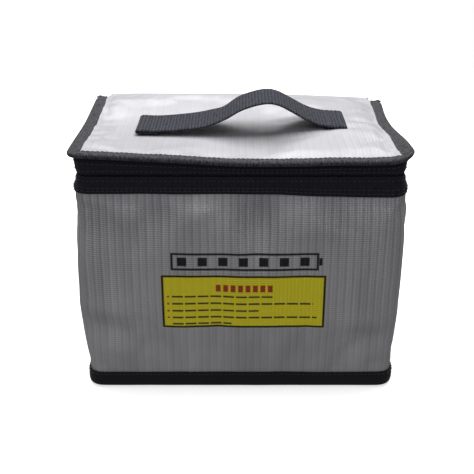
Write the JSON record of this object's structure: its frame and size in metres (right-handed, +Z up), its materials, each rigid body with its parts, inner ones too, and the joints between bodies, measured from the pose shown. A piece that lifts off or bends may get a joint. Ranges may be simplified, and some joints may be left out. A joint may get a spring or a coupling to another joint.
{
  "type": "lipo safe bag",
  "caption": "Box-shaped soft case of silver coated cloth with a lining, a zipped hinged lid, black bindings and a webbing handle, for storing and charging lithium batteries.",
  "frame": {"origin": "centre of the underside of the base panel", "axes": "+Z up, the front face looks along -Y, +X to the right of someone facing the front, the lid hinges along the top of the back wall"},
  "size_m": [0.215, 0.1461, 0.1869],
  "materials": {
    "silver_coated_cloth": "woven glass-fibre cloth with a silver coating, satin",
    "glass_fibre_lining": "matt woven lining",
    "black_binding": "matt ribbed binding tape",
    "zip_tape": "matt woven zip tape",
    "zip_coil": "moulded nylon coil, satin",
    "black_webbing": "matt woven webbing",
    "slider_metal": "black enamel on die-cast zinc"
  },
  "bodies": {
    "case": {"outer_wall": "silver_coated_cloth", "back_panel": "silver_coated_cloth", "base_panel": "silver_coated_cloth", "lining_wall": "glass_fibre_lining", "back_lining": "glass_fibre_lining", "base_lining": "glass_fibre_lining", "base_binding": "black_binding", "body_zip_tape": "zip_tape", "body_zip_coil": "zip_coil", "left_zip_end_tab": "zip_tape", "right_zip_end_tab": "zip_tape", "left_corner_gusset": "zip_tape", "right_corner_gusset": "zip_tape", "hinge_fold": "silver_coated_cloth"},
    "lid": {"lid_panel": "silver_coated_cloth", "lid_lining": "glass_fibre_lining", "lid_binding": "black_binding", "lid_zip_tape": "zip_tape", "lid_zip_coil": "zip_coil", "handle_left_end": "black_webbing", "handle_right_end": "black_webbing"},
    "handle": {"handle_strap": "black_webbing"},
    "front_slider": {"front_slider": "slider_metal"},
    "front_pull": {"front_slider_pull": "slider_metal"},
    "rear_slider": {"rear_slider": "slider_metal"},
    "rear_pull": {"rear_slider_pull": "slider_metal"}
  },
  "joints": [
    {"name": "lid_hinge", "type": "hinge", "parent": "case", "child": "lid", "pos_m": [0, 0.0699, 0.1664], "axis": [-1, 0, 0], "range_deg": [0, 240]},
    {"name": "handle_sway", "type": "hinge", "parent": "lid", "child": "handle", "pos_m": [0.018, -0.001, 0.17], "axis": [1, 0, 0], "range_deg": [-25, 25], "stiffness_Nm_per_rad": 0.02},
    {"name": "front_slider_travel", "type": "slide", "parent": "case", "child": "front_slider", "axis": [0, -1, 0], "range_m": [0, 0.056]},
    {"name": "rear_slider_travel", "type": "slide", "parent": "case", "child": "rear_slider", "axis": [0, 1, 0], "range_m": [0, 0.036]},
    {"name": "front_pull_turn", "type": "hinge", "parent": "front_slider", "child": "front_pull", "pos_m": [0.1057, 0.0037, 0.1535], "axis": [0, 0, 1], "range_deg": [0, 160]},
    {"name": "rear_pull_turn", "type": "hinge", "parent": "rear_slider", "child": "rear_pull", "pos_m": [0.1057, 0.0163, 0.1535], "axis": [0, 0, -1], "range_deg": [0, 160]}
  ]
}
